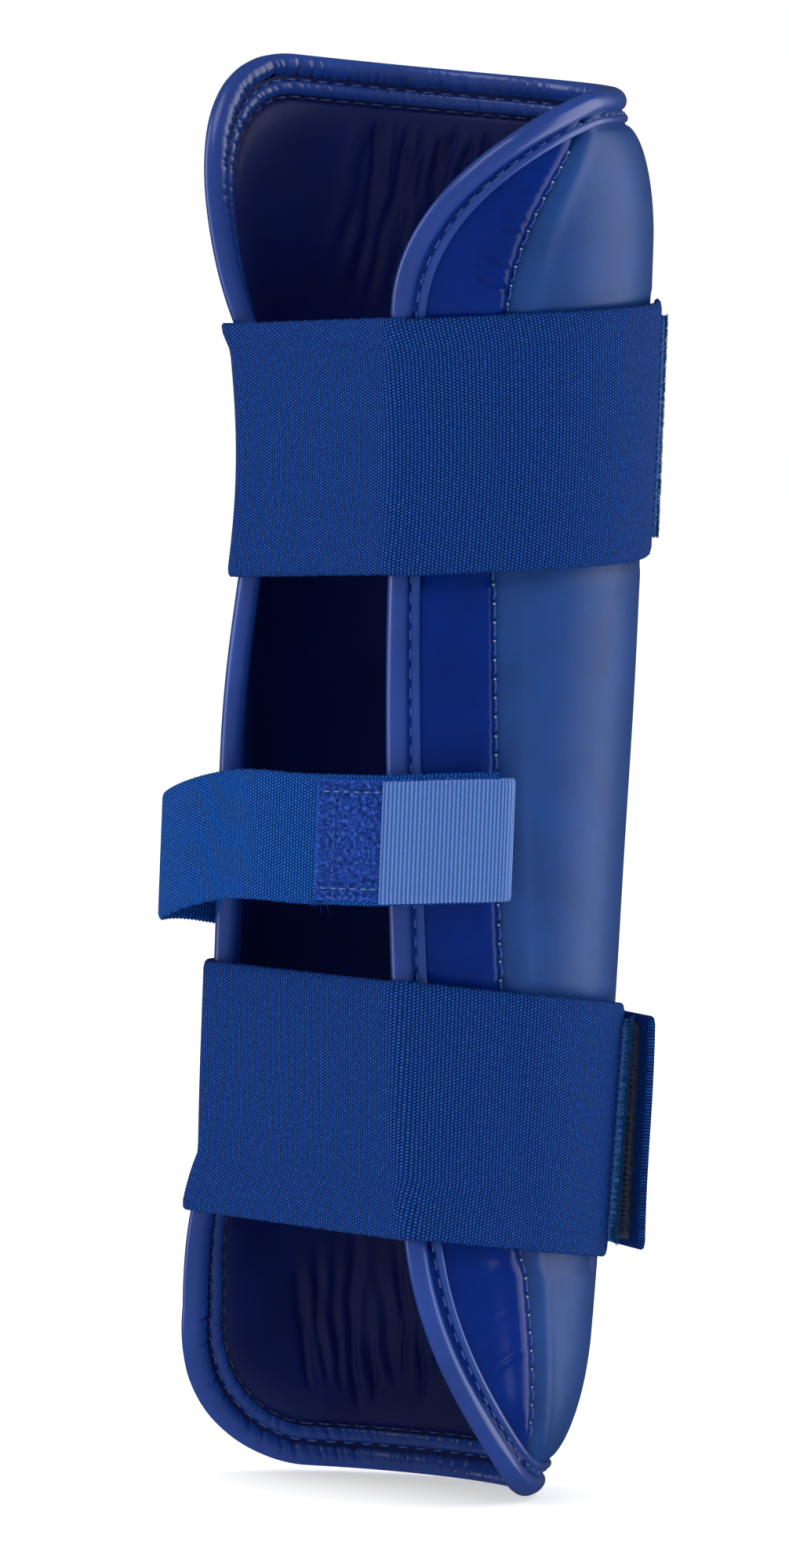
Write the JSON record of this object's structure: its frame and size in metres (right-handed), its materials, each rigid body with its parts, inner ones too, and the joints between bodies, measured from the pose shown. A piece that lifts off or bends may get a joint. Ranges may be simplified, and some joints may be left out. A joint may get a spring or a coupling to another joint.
{
  "type": "forearm guard",
  "caption": "Padded artificial leather forearm guard, a C-shaped foam sleeve with rolled edges, closed by elastic straps with hook-and-loop tabs.",
  "frame": {"origin": "middle of the hollow that holds the forearm, at half the sleeve's length on the arm's centre line", "axes": "+Z along the arm from wrist to elbow, +Y towards the thick front pad, -Y out of the side opening, +X towards the wing that the straps close over"},
  "size_m": [0.0928, 0.0858, 0.2859],
  "materials": {
    "pad_leather": "satin fine-grain artificial leather",
    "wing_leather": "smooth semi-gloss artificial leather",
    "lining_leather": "soft smooth artificial leather, padded",
    "binding_leather": "glossy rolled artificial leather",
    "foam": "closed-cell foam",
    "thread": "polyester sewing thread",
    "elastic": "woven knitted elastic",
    "hook_tape": "ribbed hook tape",
    "loop_tape": "brushed loop pile tape"
  },
  "bodies": {
    "sleeve": {"front_cover": "pad_leather", "left_wing_cover": "wing_leather", "right_wing_cover": "wing_leather", "inner_lining": "lining_leather", "front_pad_foam": "foam", "left_wing_foam": "foam", "right_wing_foam": "foam", "edge_binding": "binding_leather", "edge_cord": "foam", "binding_thread": "thread", "lining_thread": "thread", "left_seam_thread": "thread", "right_seam_thread": "thread", "upper_strap_root": "elastic", "middle_strap_root": "elastic", "lower_strap_root": "elastic", "strap_root_thread": "thread", "upper_tab_base": "elastic", "lower_tab_base": "elastic", "tab_base_thread": "thread"},
    "upper_strap": {"upper_elastic": "elastic", "upper_loop_patch": "loop_tape", "upper_strap_thread": "thread"},
    "upper_tab_flap": {"upper_tab": "elastic", "upper_tab_hooks": "hook_tape", "upper_tab_thread": "thread"},
    "middle_strap": {"middle_elastic": "elastic", "middle_loop_patch": "loop_tape", "middle_tab_base": "hook_tape", "middle_strap_thread": "thread"},
    "middle_tab_flap": {"middle_hook_tab": "hook_tape"},
    "lower_strap": {"lower_elastic": "elastic", "lower_loop_patch": "loop_tape", "lower_strap_thread": "thread"},
    "lower_tab_flap": {"lower_tab": "elastic", "lower_tab_hooks": "hook_tape", "lower_tab_thread": "thread"}
  },
  "joints": [
    {"name": "upper_strap_swing", "type": "hinge", "parent": "sleeve", "child": "upper_strap", "pos_m": [-0.02582, -0.02901, 0.063], "axis": [0.035, 0.0595, -0.9976], "range_deg": [0, 75]},
    {"name": "upper_tab_peel", "type": "hinge", "parent": "sleeve", "child": "upper_tab_flap", "pos_m": [0.0099, 0.04617, 0.071], "axis": [0, 0, 1], "range_deg": [0, 130]},
    {"name": "middle_strap_swing", "type": "hinge", "parent": "sleeve", "child": "middle_strap", "pos_m": [-0.03995, -0.027, -0.018], "axis": [0, 0, -1], "range_deg": [0, 75]},
    {"name": "middle_tab_peel", "type": "hinge", "parent": "middle_strap", "child": "middle_tab_flap", "pos_m": [0.04771, -0.01227, -0.013], "axis": [0, 0, 1], "range_deg": [0, 140]},
    {"name": "lower_strap_swing", "type": "hinge", "parent": "sleeve", "child": "lower_strap", "pos_m": [-0.03321, -0.02521, -0.0645], "axis": [-0.1306, 0.0372, -0.9907], "range_deg": [0, 75]},
    {"name": "lower_tab_peel", "type": "hinge", "parent": "sleeve", "child": "lower_tab_flap", "pos_m": [0.01549, 0.04177, -0.0695], "axis": [0, 0, 1], "range_deg": [0, 130]}
  ]
}
